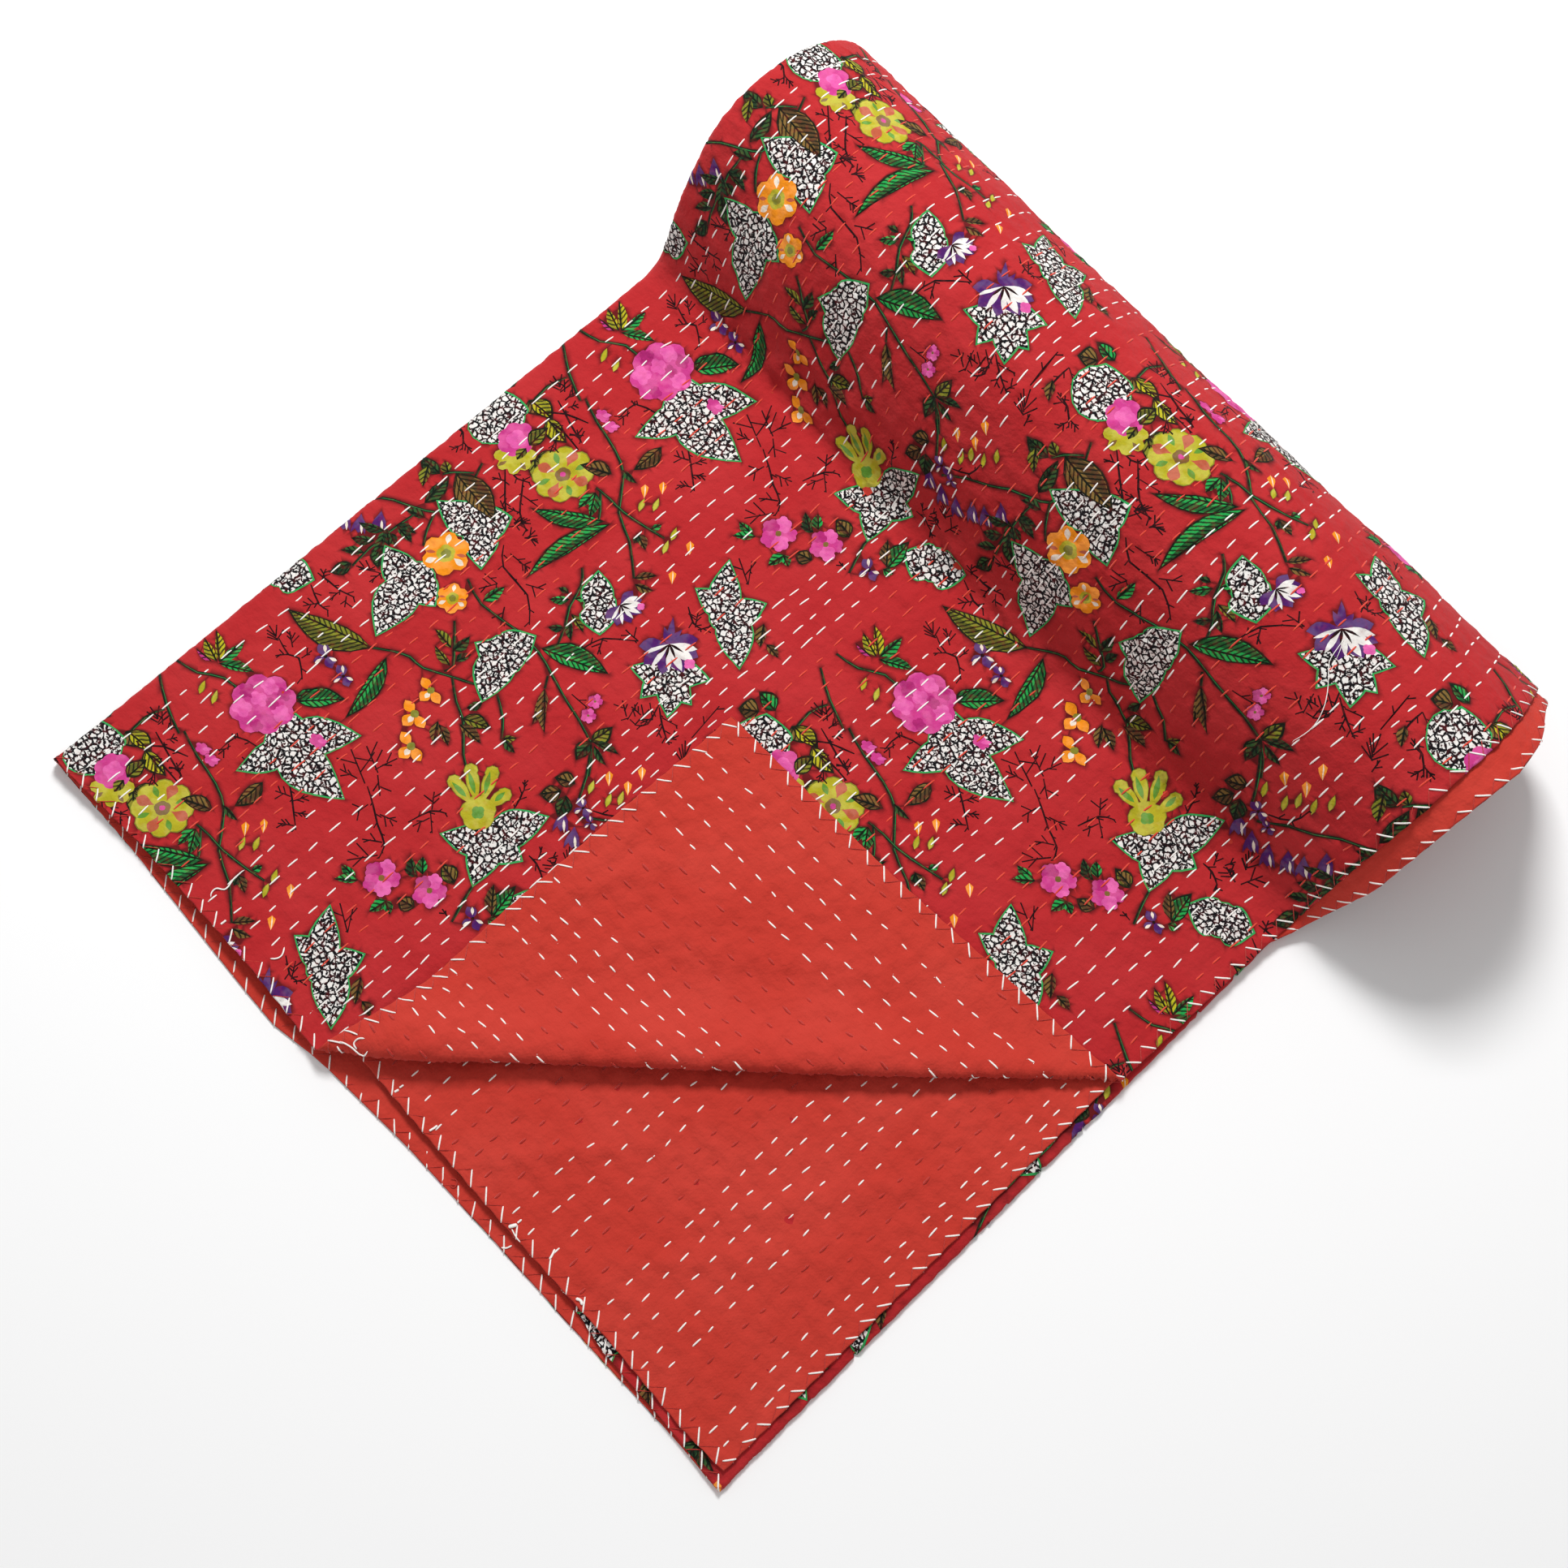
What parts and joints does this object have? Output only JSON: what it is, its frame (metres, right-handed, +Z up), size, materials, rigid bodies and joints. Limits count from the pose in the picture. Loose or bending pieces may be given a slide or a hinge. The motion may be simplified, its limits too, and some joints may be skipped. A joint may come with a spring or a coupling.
{
  "type": "kantha quilt",
  "caption": "Hand-stitched two-faced cotton quilt, folded lengthwise and rolled, its free end lying flat off the top of the roll with one corner of the top layer turned back.",
  "frame": {"origin": "middle of the outline in plan, on the surface that the quilt lies on", "axes": "+X across the folded strip from the folded side to the side with the hems, +Y along the strip from its near end to the roll, +Z up"},
  "size_m": [0.6034, 0.6708, 0.1151],
  "materials": {
    "quilt_cotton": "matte printed and plain cotton, puckered by rows of running stitch"
  },
  "bodies": {
    "root": {"quilt": "quilt_cotton"}
  },
  "joints": []
}
